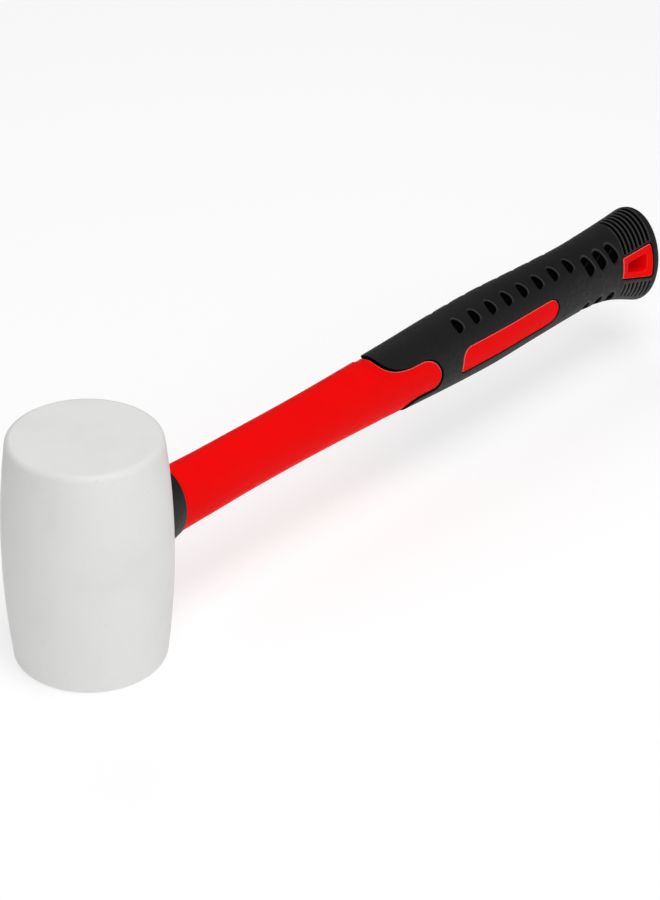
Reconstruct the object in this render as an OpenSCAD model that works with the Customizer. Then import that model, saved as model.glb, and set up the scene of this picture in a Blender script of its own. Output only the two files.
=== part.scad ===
// Rubber mallet: a barrel head of white rubber on a handle of oval section.
// Millimetres. The head stands along +Z on its lower striking face, whose centre is the
// origin, and the handle runs along +X from the middle of the head.

/* [Head] */
// Diameter of the head at its middle
head_mid_d = 62; // [60:0.5:65]
// Diameter of the head at its faces, before the rim is rounded
head_face_d = 56; // [54:0.5:58]
// Length of the head from face to face
head_len = 91; // [88:1:96]
// Rounding of the rim around each striking face
rim_r = 2.5; // [1.5:0.1:3.5]
// Depth of the handle socket, from the side of the head
socket_depth = 49; // [40:1:52]

/* [Core and bond] */
// Diameter of the fibreglass core rod
core_d = 13; // [11:0.5:13]
// Thickness of the adhesive around the rod in the socket
bond_t = 1.5; // [1:0.1:2]
// Distance from the head's axis to the butt end of the core rod
core_reach = 297; // [285:1:299]

/* [Handle] */
// Distance from the head's axis to the butt end of the handle, at its middle
handle_reach = 327; // [326:0.5:330]
// Half height of the bare neck
neck_h = 12.75; // [12.6:0.05:13.4]
// Width of the oval section as a share of its height
oval = 0.75; // [0.74:0.01:0.8]
// Share of the butt's flare that goes into its width
flare_share = 0.56; // [0.5:0.01:0.75]
// How far the butt end leans towards the head, per millimetre of height
end_lean = 0.028; // [0:0.004:0.04]
// Distance from the head's axis to the start of the plastic jacket
jacket_start = 33; // [32.5:0.1:34]

/* [Collar] */
// Distance from the head's axis to the outer end of the collar
collar_end = 40.4; // [39:0.1:43]
// How far the collar stands over the jacket at its outer end
collar_lip = 0.4; // [0.2:0.1:0.8]
// How far the collar widens towards the head, per millimetre
collar_flare = 0.21; // [0.1:0.01:0.4]

/* [Grip] */
// Wall of the soft grip over the jacket
grip_wall = 2.6; // [2:0.1:2.7]
// How far the grip stands proud of the bare jacket
grip_proud = 0.5; // [0.3:0.1:0.8]
// Distance from the head's axis to the front edge of the grip, at its top
grip_front = 151.8; // [149:0.1:153]
// Distance from the head's axis to the front edge of the grip, at its bottom
belly_front = 168; // [160:0.5:170]
// Length of the jacket's tongue past the grip's front edge at the top
tongue_len = 32.5; // [31:0.5:36]
// Half height of the tongue
tongue_h = 8.2; // [7:0.1:8.5]
// Rounding of the butt end
butt_r = 3.5; // [2:0.1:3.5]

/* [Side windows] */
// Start and end of each window, from the head's axis
window_x = [197, 259.6]; // [190:0.1:270]
// Half height of the window
window_h = 5.8; // [5:0.1:6.3]
// Height of the window's middle line over the handle's axis
window_z = -0.7; // [-1.5:0.1:0]
// How far the windows and the hole's frame lie below the grip's skin
panel_gap = 0.1; // [0.1:0.05:0.5]

/* [Hang hole] */
// Start and end of the frame, from the head's axis
frame_x = [303, 321.4]; // [302:0.1:321.5]
// Height of the frame's upper edge over the handle's axis, at its narrow and its wide end
frame_top = [6.2, 7.4]; // [5:0.1:8.5]
// Height of the frame's lower edge, at its narrow and its wide end
frame_bottom = [-4.2, -8.6]; // [-9:0.1:-3.5]
// How much further back the lower corner of the frame's wide end lies than the upper one
frame_slant = 0.8; // [0:0.1:0.8]
// Start and end of the hole, from the head's axis
hole_x = [306.7, 318.3]; // [305:0.1:319]
// Height of the hole's upper edge, at its narrow and its wide end
hole_top = [2.6, 3.4]; // [1.5:0.1:4]
// Height of the hole's lower edge, at its narrow and its wide end
hole_bottom = [-2.3, -4.8]; // [-5.5:0.1:-1.5]

/* [Dimples and grooves] */
// Number of small dimples on each side
small_count = 8; // [1:1:9]
// Number of large dimples in each row
large_count = 3; // [1:1:3]
// Number of grooves in each set at the butt
groove_count = 7; // [1:1:7]
// Width of each groove
groove_w = 1.3; // [0.8:0.1:1.5]
// Depth of each groove
groove_depth = 1.4; // [0.8:0.1:1.6]

/* [Hidden] */
$fn = 64;

mid_z = head_len / 2;                 // height of the handle's axis
socket_r = core_d / 2 + bond_t;
socket_end = head_mid_d / 2 - socket_depth;
ring_points = 40;                     // points around one oval section
ring_step = 6;                        // distance between oval sections
far = 60;                             // longer than the handle is wide or high
past = 1;                             // how far a cutting body runs past what it cuts

butt_wall = 1;                        // rubber behind the jacket's end, past the rounding
jacket_end = handle_reach - butt_r - butt_wall;

// The run of the handle's half height: straight stretches joined by soft bends.
// Each bend is [place, change of slope, half length of the bend].
height_bends = [
    [84, 0.038, 39],                  // end of the slight taper away from the head
    [145, 0.030, 39],                 // start of the swell under the palm
    [208, -0.0444, 24.5],             // top of the swell
    [224.3, -0.035, 8.2],             // start of the waist
    [253.5, 0.0155, 21]               // bottom of the waist
];
butt_bends = [
    [296, 0.231, 21.5],               // flare to the butt
    [302, 0.028, 6]
];
taper_x = 75;                         // where the neck is neck_h high
start_slope = -0.021;                 // taper of the neck away from the head
// The middle line rises a little under the neck and falls at the butt
middle_bends = [
    [60, 0.015, 1],
    [80, -0.015, 1],
    [301, -0.168, 12]
];
lean_start = 300;                     // the lean of the end grows from here
lean_run = 20;

// 0 before the bend, u after it, and a parabola between
function ramp(u, soft) = u < -soft ? 0 : u > soft ? u : pow(u + soft, 2) / (4 * soft);

// Sum of a list of bends at x
function bent(x, bends, i = 0) =
    i == len(bends) ? 0 : bends[i][1] * ramp(x - bends[i][0], bends[i][2]) + bent(x, bends, i + 1);

function flare(x) = bent(x, butt_bends);

// Half height and half width of the grip's outside, which stands proud of the bare jacket
function grip_h(x) =
    neck_h + grip_proud + start_slope * (x - taper_x) + bent(x, height_bends) + flare(x);
function grip_w(x) = oval * (grip_h(x) - flare(x)) + flare_share * flare(x);

function middle_z(x) = mid_z + bent(x, middle_bends);

function lean_at(x) = end_lean * min(1, max(0, (x - lean_start) / lean_run));

// Places of the sections from a to b, never more than ring_step apart
function stations(a, b) =
    let (n = ceil((b - a) / ring_step)) [for (i = [0 : n]) a + (b - a) * i / n];

// One oval ring at x: the grip's section, moved in by inset
function ring(x, inset) =
    let (h = grip_h(x) - inset, w = grip_w(x) - inset, k = lean_at(x))
    [for (i = [0 : ring_points - 1])
        let (a = 360 * i / ring_points)
        [x - k * h * sin(a), w * cos(a), middle_z(x) + h * sin(a)]];

// Points on an arc of an ellipse, from one angle to another
function arc(centre, rx, rz, from, to) =
    let (steps = 8)
    [for (i = [0 : steps])
        let (a = from + (to - from) * i / steps)
        [centre.x + rx * cos(a), centre.y + rz * sin(a)]];

// Closed skin over a list of rings with the same number of points
module skin(rings) {
    n = len(rings[0]);
    last = len(rings) - 1;
    sides = [for (r = [0 : last - 1], i = [0 : n - 1])
        [r * n + i, (r + 1) * n + i, (r + 1) * n + (i + 1) % n, r * n + (i + 1) % n]];
    front = [[for (i = [0 : n - 1]) i]];
    back = [[for (i = [n - 1 : -1 : 0]) last * n + i]];
    polyhedron([for (r = rings, p = r) p], concat(sides, front, back), convexity = 8);
}

// The handle's oval body from x = a to x = b, moved in by inset
module oval_body(a, b, inset) {
    skin([for (x = stations(a, b)) ring(x, inset)]);
}

// The grip's whole outer body, with its butt end rounded
module grip_body() {
    round_start = handle_reach - butt_r;
    steps = 4;
    skin(concat(
        [for (x = stations(grip_front, round_start)) ring(x, 0)],
        [for (i = [1 : steps])
            let (a = 90 * i / steps) ring(round_start + butt_r * sin(a), butt_r * (1 - cos(a)))]
    ));
}

// Extrude a side-view outline, drawn as [x, z over the handle's axis], across the handle
module across() {
    translate([0, 0, mid_z])
        rotate([90, 0, 0])
            linear_extrude(height = far, center = true)
                children();
}

// The jacket's bare part in side view: the neck, and the tongue that runs under the palm.
// The grip's front edge sweeps from the top and from the bottom into the tongue.
module tongue_outline() {
    top_run = 17;                     // length and height of the sweep at the top
    top_rise = 8.9;
    low_run = 6;                      // length and height of the sweep at the bottom
    low_rise = 4;
    tip_z = -3;                       // height at which the tongue is longest
    tip_upper = 10.5;                 // length of the tip's upper and its lower curve
    tip_lower = 3.3;
    tip_x = grip_front + tongue_len;
    polygon(concat(
        [[0, -far / 2], [0, far / 2], [grip_front, far / 2]],
        arc([grip_front + top_run, tongue_h + top_rise], top_run, top_rise, 180, 270),
        arc([tip_x - tip_upper, tip_z], tip_upper, tongue_h - tip_z, 90, 0),
        arc([tip_x - tip_lower, tip_z], tip_lower, tongue_h + tip_z, 0, -90),
        arc([belly_front + low_run, -tongue_h - low_rise], low_run, low_rise, 90, 180),
        [[belly_front, -far / 2]]
    ));
}

// Round-ended window, with tighter corners towards the head
module window_outline() {
    corner_rs = [1.5, 5];             // lower and upper corner
    translate([0, window_z])
        hull() {
            translate([window_x[1] - window_h, 0])
                circle(r = window_h);
            for (i = [0, 1])
                translate([window_x[0] + corner_rs[i], (2 * i - 1) * (window_h - corner_rs[i])])
                    circle(r = corner_rs[i], $fn = 32);
        }
}

// Four-sided outline between two x places, with its edges' heights at each, and round corners.
// Its second end leans: the lower corner lies further back by slant.
module wedge_outline(xs, bottom, top, corner_r, slant) {
    hull()
        for (end = [0, 1]) {
            x = xs[end] + (end == 0 ? corner_r : -corner_r);
            translate([x, top[end] - corner_r])
                circle(r = corner_r, $fn = 24);
            translate([x + end * slant, bottom[end] + corner_r])
                circle(r = corner_r, $fn = 24);
        }
}

module frame_outline() {
    corner_r = 1.2;
    wedge_outline(frame_x, frame_bottom, frame_top, corner_r, frame_slant);
}

module hole_outline() {
    corner_r = 1;
    wedge_outline(hole_x, hole_bottom, hole_top, corner_r, 0);
}

// An oval pocket on both sides of the grip at x, at an angle up around the oval section.
// Its size is [length, width, depth, lean], and its upper end leans towards the head.
module pocket(x, up, size) {
    h = grip_h(x);
    w = grip_w(x);
    tilt = atan2(w * sin(up), h * cos(up));    // direction of the surface's outward normal
    for (side = [-1, 1])
        scale([1, side, 1])
            translate([x, -w * cos(up), middle_z(x) + h * sin(up)])
                rotate([90 - tilt, 0, 0])
                    rotate([0, 0, size[3]])
                        linear_extrude(height = 2 * size[2], center = true)
                            scale([size[1] / 2, size[0] / 2])
                                circle(r = 1, $fn = 28);
}

module dimples() {
    small_size = [6.9, 4.3, 1.8, 11];
    small_x = 198.1;                  // place of the first, and pitch
    small_pitch = 10.33;
    small_up = 55;
    large_size = [9.7, 5.0, 2.0, 20];
    large_rows = [                    // place of the first, pitch, and angle up
        [281.4, 7.85, 36.5],
        [282.9, 8.5, -50]
    ];
    for (i = [0 : small_count - 1])
        pocket(small_x + i * small_pitch, small_up, small_size);
    for (row = large_rows, i = [0 : large_count - 1])
        pocket(row[0] + i * row[1], row[2], large_size);
}

// A row of slots around the butt, before they are trimmed to the skin
module slots(first_x, pitch) {
    for (i = [0 : groove_count - 1])
        translate([first_x + i * pitch - groove_w / 2, -far / 2, mid_z - far / 2])
            cube([groove_w, far, far]);
}

// The grooves at the butt: a set above and a set below the frame, on both sides. A smooth
// band stays along the belly, and the near side's upper set runs over the crest.
module grooves() {
    band = 8.6;                       // half width of the smooth band along the belly
    crest_over = 4.5;                 // how far the near upper set runs past the crest
    land = 1.2;                       // plain skin between the frame and the upper set
    low_land = 2.3;                   // plain skin between the frame and the lower set
    upper = [305.3, 2.55];            // place of the first groove of each set, and pitch
    lower = [306.6, 2.55];
    lead = 4;                         // how far the uncut inside starts before the grooves
    difference() {
        union() {
            intersection() {
                slots(upper[0], upper[1]);
                union() {
                    translate([frame_x[0], -far / 2, mid_z])
                        cube([far, far / 2 + crest_over, far / 2]);
                    translate([frame_x[0], band, mid_z])
                        cube([far, far / 2, far / 2]);
                }
            }
            intersection() {
                slots(lower[0], lower[1]);
                for (side = [-1, 1])
                    scale([1, side, 1])
                        translate([frame_x[0], band, mid_z - far / 2])
                            cube([far, far / 2, far / 2]);
            }
        }
        oval_body(frame_x[0] - lead, handle_reach, groove_depth);
        across()
            polygon([
                [frame_x[0], frame_top[0] + land],
                [frame_x[1] + land, frame_top[1] + land],
                [frame_x[1] + land, frame_bottom[1] - low_land],
                [frame_x[0], frame_bottom[0] - low_land]
            ]);
    }
}

// Half section of the barrel: one true arc for the side, one at each rim
module head_section() {
    bulge = (head_mid_d - head_face_d) / 2;
    side_r = (pow(head_len / 2, 2) + pow(bulge, 2)) / (2 * bulge);
    side_cx = head_mid_d / 2 - side_r;
    rim_z = mid_z - rim_r;
    rim_x = side_cx + sqrt(pow(side_r - rim_r, 2) - pow(rim_z, 2));
    join_z = rim_z * side_r / (side_r - rim_r);    // where the rim's arc meets the side's
    translate([0, mid_z])
        union() {
            intersection() {
                translate([side_cx, 0]) circle(r = side_r, $fn = 256);
                translate([0, -join_z]) square([head_mid_d, 2 * join_z]);
            }
            translate([0, -mid_z]) square([rim_x, head_len]);
            for (side = [-1, 1])
                intersection() {
                    translate([rim_x, side * rim_z]) circle(r = rim_r, $fn = 64);
                    translate([0, side > 0 ? join_z : -mid_z]) square([head_mid_d, mid_z - join_z]);
                }
        }
}

module head_solid() {
    rotate_extrude($fn = 128) head_section();
}

module along_x(from, to, d) {
    translate([from, 0, mid_z])
        rotate([0, 90, 0])
            cylinder(h = to - from, d = d);
}

module mallet_head() {
    color("whitesmoke")
        difference() {
            head_solid();
            along_x(socket_end, head_mid_d, 2 * socket_r);
        }
}

module core_rod() {
    color("palegoldenrod")
        along_x(socket_end + bond_t, core_reach, core_d);
}

// Cup of hardened adhesive that fills the socket around the rod
module epoxy_bond() {
    color("burlywood")
        difference() {
            intersection() {
                along_x(socket_end, head_mid_d, 2 * socket_r);
                head_solid();
            }
            along_x(socket_end + bond_t, head_mid_d, core_d);
        }
}

// The core of the jacket, which fills the inside of the grip
module jacket_core() {
    overlap = 10;                     // how far the core starts before the grip
    oval_body(grip_front - overlap, jacket_end, grip_wall);
}

module handle_jacket() {
    panel_lead = 5;                   // how far the panels' body starts before the windows
    color("red")
        difference() {
            union() {
                jacket_core();
                intersection() {
                    oval_body(jacket_start, grip_front + tongue_len + past, grip_proud);
                    across() tongue_outline();
                }
                intersection() {
                    oval_body(window_x[0] - panel_lead, jacket_end, panel_gap);
                    across() {
                        window_outline();
                        frame_outline();
                    }
                }
            }
            along_x(0, core_reach, core_d);
            across() hole_outline();
        }
}

// Flared cup between the head and the jacket's end
module neck_collar() {
    base_x = 26;                      // inside the head, which trims the cup's base
    rings = [for (x = [base_x, (base_x + collar_end) / 2, collar_end])
        ring(x, grip_proud - collar_lip - collar_flare * (collar_end - x))];
    color("dimgray")
        difference() {
            skin(rings);
            head_solid();
            oval_body(jacket_start, collar_end + past, grip_proud);
            along_x(0, collar_end, core_d);
        }
}

module grip_sleeve() {
    color("#232323")
        difference() {
            grip_body();
            jacket_core();
            across() {
                tongue_outline();
                window_outline();
                frame_outline();
            }
            dimples();
            grooves();
        }
}

mallet_head();
core_rod();
epoxy_bond();
handle_jacket();
neck_collar();
grip_sleeve();
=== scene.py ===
"""Rubber mallet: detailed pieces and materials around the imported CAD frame.

The head, the jacket, the collar and the grip are finer meshes on the same curves as in the
CAD. Lengths are in millimetres until a mesh is made. A place on the handle is given by x, by
turn, the angle up from its near side around its axis, and by depth under the grip's skin.
"""
import math

import bmesh
import bpy
import numpy as np
from mathutils import Matrix, Vector
from mathutils.geometry import delaunay_2d_cdt
from mathutils.kdtree import KDTree


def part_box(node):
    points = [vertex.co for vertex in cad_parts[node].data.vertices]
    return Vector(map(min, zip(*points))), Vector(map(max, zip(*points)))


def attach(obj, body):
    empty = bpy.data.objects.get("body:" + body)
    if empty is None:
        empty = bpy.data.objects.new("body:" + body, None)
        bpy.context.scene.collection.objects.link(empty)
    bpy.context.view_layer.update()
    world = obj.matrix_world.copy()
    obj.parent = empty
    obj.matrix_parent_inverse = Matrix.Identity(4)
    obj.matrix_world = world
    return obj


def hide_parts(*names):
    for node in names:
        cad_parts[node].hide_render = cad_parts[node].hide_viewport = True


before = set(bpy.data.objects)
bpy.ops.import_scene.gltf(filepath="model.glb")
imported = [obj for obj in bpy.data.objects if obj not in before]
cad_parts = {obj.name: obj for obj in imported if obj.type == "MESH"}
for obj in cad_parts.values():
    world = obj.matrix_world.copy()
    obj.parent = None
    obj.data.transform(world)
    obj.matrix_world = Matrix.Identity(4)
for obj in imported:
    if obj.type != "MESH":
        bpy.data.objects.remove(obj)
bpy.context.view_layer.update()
MM = 0.001                                    # metres in a millimetre


# ---------------------------------------------------------------- sizes, in millimetres

def node_box(name):
    """The lowest and the highest corner of a CAD node."""
    low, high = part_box(name)
    return np.array(low) / MM, np.array(high) / MM


head_low, head_high = node_box("mallet_head")
bond_low, bond_high = node_box("epoxy_bond")
core_low, core_high = node_box("core_rod")
grip_low, grip_high = node_box("grip_sleeve")

MID_Z = (head_low[2] + head_high[2]) / 2      # height of the handle's axis
HEAD_LEN = head_high[2] - head_low[2]
HEAD_R = (head_high[1] - head_low[1]) / 2
BULGE = 3.0                                   # how much its radius grows from end to middle
SIDE_R = ((HEAD_LEN / 2) ** 2 + BULGE ** 2) / (2 * BULGE)     # radius of its side's arc
RIM_R = 2.5
SOCKET_R = (bond_high[2] - bond_low[2]) / 2
CORE_R = (core_high[2] - core_low[2]) / 2
JACKET_START = node_box("handle_jacket")[0][0]
COLLAR_END = node_box("neck_collar")[1][0]
COLLAR_PROUD, COLLAR_FLARE = 0.4, 0.21        # how far over the neck it ends, and its slope
COLLAR_LIP_R, COLLAR_EDGE = 0.35, 0.1         # rounding of its lip, and the bore's small chamfer
FILLET, FILLET_RUN = 0.35, 0.8                # the collar's foot against the head

# The run of the handle's half height and of its middle line, as in the CAD: straight
# stretches joined by bends, each with its place, its change of slope and half its length.
TAPER_X, NECK_H, START_SLOPE = 75, 12.75, -0.021
HEIGHT_BENDS = ((84, 0.038, 39), (145, 0.030, 39), (208, -0.0444, 24.5),
                (224.3, -0.035, 8.2), (253.5, 0.0155, 21))
BUTT_BENDS = ((296, 0.231, 21.5), (302, 0.028, 6))
MIDDLE_BENDS = ((60, 0.015, 1), (80, -0.015, 1), (301, -0.168, 12))
OVAL, FLARE_SHARE = 0.75, 0.56                # width against height, and in the butt's flare
END_LEAN, LEAN_START, LEAN_RUN = 0.028, 300, 20
GRIP_PROUD, GRIP_WALL = 0.5, 2.6
BUTT_R, BUTT_WALL, BUTT_CROWN = 3.5, 1.0, 0.15

# The grip's front edge in side view: level over the crest and the belly, and swept back on
# each side around a tongue of the jacket
GRIP_FRONT, BELLY_FRONT = grip_low[0], 168    # where it crosses the crest and the belly
TONGUE_LEN, TONGUE_H = 32.5, 8.2              # the tongue's length, and half its height
TOP_RUN, TOP_RISE = 17, 8.9                   # the quarter oval from the tongue to the crest
LOW_RUN, LOW_RISE = 6, 4                      # and the one from the tongue to the belly
TIP_Z, TIP_UPPER, TIP_LOWER = -3, 10.5, 3.3   # height of the tip, and its two halves' lengths

# Openings in each side of the grip, with heights over the handle's axis. The jacket shows in
# the window and in the frame, and the hang hole goes through the frame.
WINDOW_X, WINDOW_H, WINDOW_Z = (197, 259.6), 5.8, -0.7
WINDOW_RS = (1.5, 5)                          # radii of its lower and upper front corner
FRAME = dict(xs=(303, 321.4), bottom=(-4.2, -8.6), top=(6.2, 7.4), r=1.2, slant=0.8)
HOLE = dict(xs=(306.7, 318.3), bottom=(-2.3, -4.8), top=(2.6, 3.4), r=1, slant=0)


def ramp(u, soft):
    """0 before a bend, u after it, and a parabola between."""
    return np.where(u < -soft, 0.0, np.where(u > soft, u, (u + soft) ** 2 / (4 * soft)))


def bent(x, bends):
    """How far a line has moved at x through its bends."""
    x = np.asarray(x, float)
    return sum(turn * ramp(x - place, soft) for place, turn, soft in bends)


def half_height(x):
    """Half the height of the handle's section over the grip's skin."""
    return (NECK_H + GRIP_PROUD + START_SLOPE * (np.asarray(x, float) - TAPER_X)
            + bent(x, HEIGHT_BENDS) + bent(x, BUTT_BENDS))


def half_width(x):
    """Half its width, to which the butt's flare adds less."""
    flare = bent(x, BUTT_BENDS)
    return OVAL * (half_height(x) - flare) + FLARE_SHARE * flare


def middle(x):
    """Height of the handle's middle line."""
    return MID_Z + bent(x, MIDDLE_BENDS)


def lean(x):
    """How far the section at x leans towards the head, per millimetre of height."""
    return END_LEAN * np.clip((np.asarray(x, float) - LEAN_START) / LEAN_RUN, 0, 1)


def surface(x, turn, depth):
    """Points of the handle at x, at an angle up from its near side, under its outer skin."""
    x, turn, depth = np.broadcast_arrays(*[np.asarray(v, float) for v in (x, turn, depth)])
    y = -(half_width(x) - depth) * np.cos(turn)
    up = (half_height(x) - depth) * np.sin(turn)
    return np.stack([x - lean(x) * up, y, middle(x) + up], -1)


def girth(x, turn):
    """Millimetres of skin per radian of turn."""
    return np.hypot(half_width(x) * np.sin(turn), half_height(x) * np.cos(turn))


def turn_at(x, z):
    """The angle at which the skin at x is z over the handle's axis."""
    return np.arcsin(np.clip((np.asarray(z, float) + MID_Z - middle(x)) / half_height(x), -1, 1))


# The ends of the grip and of the jacket under it, at the middle of their leaning ends
HANDLE_END = grip_high[0] - END_LEAN * float(half_height(grip_high[0]) - BUTT_R)
JACKET_END = HANDLE_END - BUTT_R - BUTT_WALL


# ---------------------------------------------------------------- outlines on the skin

FLAT = 15.0                                   # millimetres of flat sheet per radian of turn
SEAM = (-math.pi / 2, 3 * math.pi / 2)        # the sheet is cut open along the belly
SIDES = (False, True)                         # near side, far side


def smooth(t):
    """From 0 to 1 as t does, level at both ends."""
    t = np.clip(t, 0, 1)
    return t * t * (3 - 2 * t)


def flat_outline(x, turn):
    return np.stack([x, turn * FLAT], -1)


def spread(x, turn, out, around=False):
    """A closed outline on the skin moved out by some millimetres (in, where negative).
    An outline that runs once around the handle is moved towards the butt instead."""
    if around:
        px = np.concatenate([x[-2:-1], x, x[1:2]])
        pt = np.concatenate([turn[-2:-1] - 2 * math.pi, turn, turn[1:2] + 2 * math.pi])
    else:
        px = np.concatenate([x[-1:], x, x[:1]])
        pt = np.concatenate([turn[-1:], turn, turn[:1]])
    g = girth(x, turn)
    dx = px[2:] - px[:-2]
    ds = (pt[2:] - pt[:-2]) * g
    length = np.hypot(dx, ds)
    return x + out * ds / length, turn - out * dx / length / g


def resample(points, step):
    """A closed polyline with points an even step apart."""
    p = np.vstack([points, points[:1]])
    along = np.concatenate([[0], np.cumsum(np.hypot(*np.diff(p, axis=0).T))])
    n = max(8, int(round(along[-1] / step)))
    t = np.linspace(0, along[-1], n, endpoint=False)
    return np.stack([np.interp(t, along, p[:, 0]), np.interp(t, along, p[:, 1])], -1)


def arc(cx, cz, rx, rz, a0, a1, n=14):
    """Points of an oval between two angles in degrees, from its centre and its half axes."""
    a = np.radians(np.linspace(a0, a1, n))
    return np.stack([cx + rx * np.cos(a), cz + rz * np.sin(a)], -1)


def window_side(step=0.8):
    """The window in side view, anticlockwise."""
    (low, high), (x0, x1), h = WINDOW_RS, WINDOW_X, WINDOW_H
    pts = np.vstack([
        arc(x0 + high, h - high, high, high, 90, 180),
        arc(x0 + low, low - h, low, low, 180, 270),
        arc(x1 - h, 0, h, h, -90, 90, n=24)])
    return resample(pts + [0, WINDOW_Z], step)


def wedge_side(xs, bottom, top, r, slant, step=0.5):
    """A four-sided outline in side view with round corners, anticlockwise. Its second end
    leans: the lower corner lies further back by slant."""
    x0, x1 = xs[0] + r, xs[1] - r
    rise = math.degrees(math.atan2(top[1] - top[0], x1 - x0))
    fall = math.degrees(math.atan2(bottom[1] - bottom[0], x1 + slant - x0))
    turned = math.degrees(math.atan2(slant, top[1] - bottom[1] - 2 * r))
    pts = np.vstack([
        arc(x0, top[0] - r, r, r, 90 + rise, 180, n=8),
        arc(x0, bottom[0] + r, r, r, 180, 270 + fall, n=8),
        arc(x1 + slant, bottom[1] + r, r, r, 270 + fall, 360 + turned, n=8),
        arc(x1, top[1] - r, r, r, turned, 90 + rise, n=8)])
    return resample(pts, step)


def on_skin(side_points, far_side):
    """Side-view points as (x, turn), anticlockwise seen from outside."""
    x, z = side_points.T
    x = x + lean(x) * (z + MID_Z - middle(x))
    turn = turn_at(x, z)
    if far_side:
        return x[::-1].copy(), math.pi - turn[::-1]
    return x, turn


def openings():
    """Every opening in the grip's sides as (name, x, turn), anticlockwise from outside."""
    for far_side in SIDES:
        side = "far" if far_side else "near"
        yield "window_" + side, *on_skin(window_side(), far_side)
        yield "frame_" + side, *on_skin(wedge_side(**FRAME), far_side)


def sweep(side, step):
    """One half of the front edge, from the tongue's tip to the crest or the belly, evenly."""
    still_on = 0.9999                         # share of the height at which it reaches either
    side = side[np.abs(side[:, 1]) < half_height(side[:, 0]) * still_on]
    x, turn = side[:, 0], turn_at(side[:, 0], side[:, 1])
    x, turn = np.append(x, x[-1]), np.append(turn, math.copysign(math.pi / 2, turn[-1]))
    along = np.concatenate([[0], np.cumsum(np.hypot(np.diff(x), np.diff(turn) * FLAT))])
    t = np.linspace(0, along[-1], int(along[-1] / step))
    return np.interp(t, along, x), np.interp(t, along, turn)


def front_edge(step=0.7):
    """The grip's front edge once round the handle, as (x, turn) from the belly over the crest
    and back: level at belly and crest, and swept back round the tongue on each side."""
    tip_x = GRIP_FRONT + TONGUE_LEN
    up_x, up_turn = sweep(np.vstack([
        arc(tip_x - TIP_UPPER, TIP_Z, TIP_UPPER, TONGUE_H - TIP_Z, 0, 90, n=60),
        arc(GRIP_FRONT + TOP_RUN, TONGUE_H + TOP_RISE, TOP_RUN, TOP_RISE, 270, 180, n=400)]),
        step)
    low_x, low_turn = sweep(np.vstack([
        arc(tip_x - TIP_LOWER, TIP_Z, TIP_LOWER, TONGUE_H + TIP_Z, 0, -90, n=40),
        arc(BELLY_FRONT + LOW_RUN, -TONGUE_H - LOW_RISE, LOW_RUN, LOW_RISE, 90, 180, n=80)]),
        step)
    x = np.concatenate([low_x[::-1], up_x[1:], up_x[-2::-1], low_x[1:]])
    turn = np.concatenate([low_turn[::-1], up_turn[1:], math.pi - up_turn[-2::-1],
                           math.pi - low_turn[1:]])
    return x, turn


def beyond(edge, x_end):
    """The flat outline between a row that runs around the handle and a place before or behind
    it. It is a little wider than the sheet, so that the points on the seam lie inside it."""
    wider, spare = 1.0, 0.1
    outline = np.vstack([edge, [[x_end, SEAM[1] * FLAT + wider], [x_end, SEAM[0] * FLAT - wider]]])
    outline[0, 1] -= spare
    outline[len(edge) - 1, 1] += spare
    return outline


def inside(poly, pts):
    """Which points lie inside a closed polygon."""
    hit = np.zeros(len(pts), bool)
    px, py = pts[:, 0], pts[:, 1]
    for (x0, y0), (x1, y1) in zip(poly, np.roll(poly, -1, axis=0)):
        if y0 == y1:
            continue
        crosses = (y0 > py) != (y1 > py)
        hit ^= crosses & (px < (x1 - x0) * (py - y0) / (y1 - y0) + x0)
    return hit


# ---------------------------------------------------------------- skins and closed meshes

MARK = "mark"                                 # the points' mark, read by the materials to paint highlights and shade
WELD = 0.002                                  # points closer than this become one
NO_AREA = 1e-7                                # flat triangles smaller than this are dropped


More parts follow.
